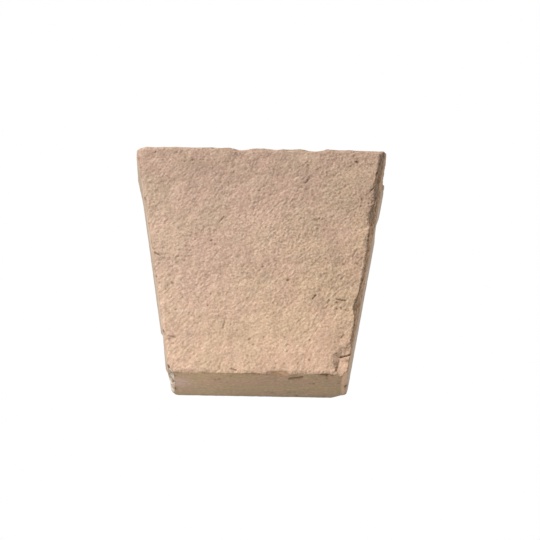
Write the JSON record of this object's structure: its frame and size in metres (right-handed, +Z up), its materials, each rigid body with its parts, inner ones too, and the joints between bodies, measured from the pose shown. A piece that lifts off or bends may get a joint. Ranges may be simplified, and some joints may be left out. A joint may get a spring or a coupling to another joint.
{
  "type": "arch keystone",
  "caption": "Wedge-shaped keystone of buff moulded stone with a rough stippled front face, plain back, joints and soffit, and worn, chipped arrises.",
  "frame": {"origin": "middle of the soffit, the flat underside that the stone stands on", "axes": "+Z up from the narrow end to the wide end, +Y from the rough front to the back that beds on the wall, +X to the right as seen from the front"},
  "size_m": [0.2819, 0.0652, 0.279],
  "materials": {
    "stone": "matte"
  },
  "bodies": {
    "root": {"keystone": "stone"}
  },
  "joints": []
}
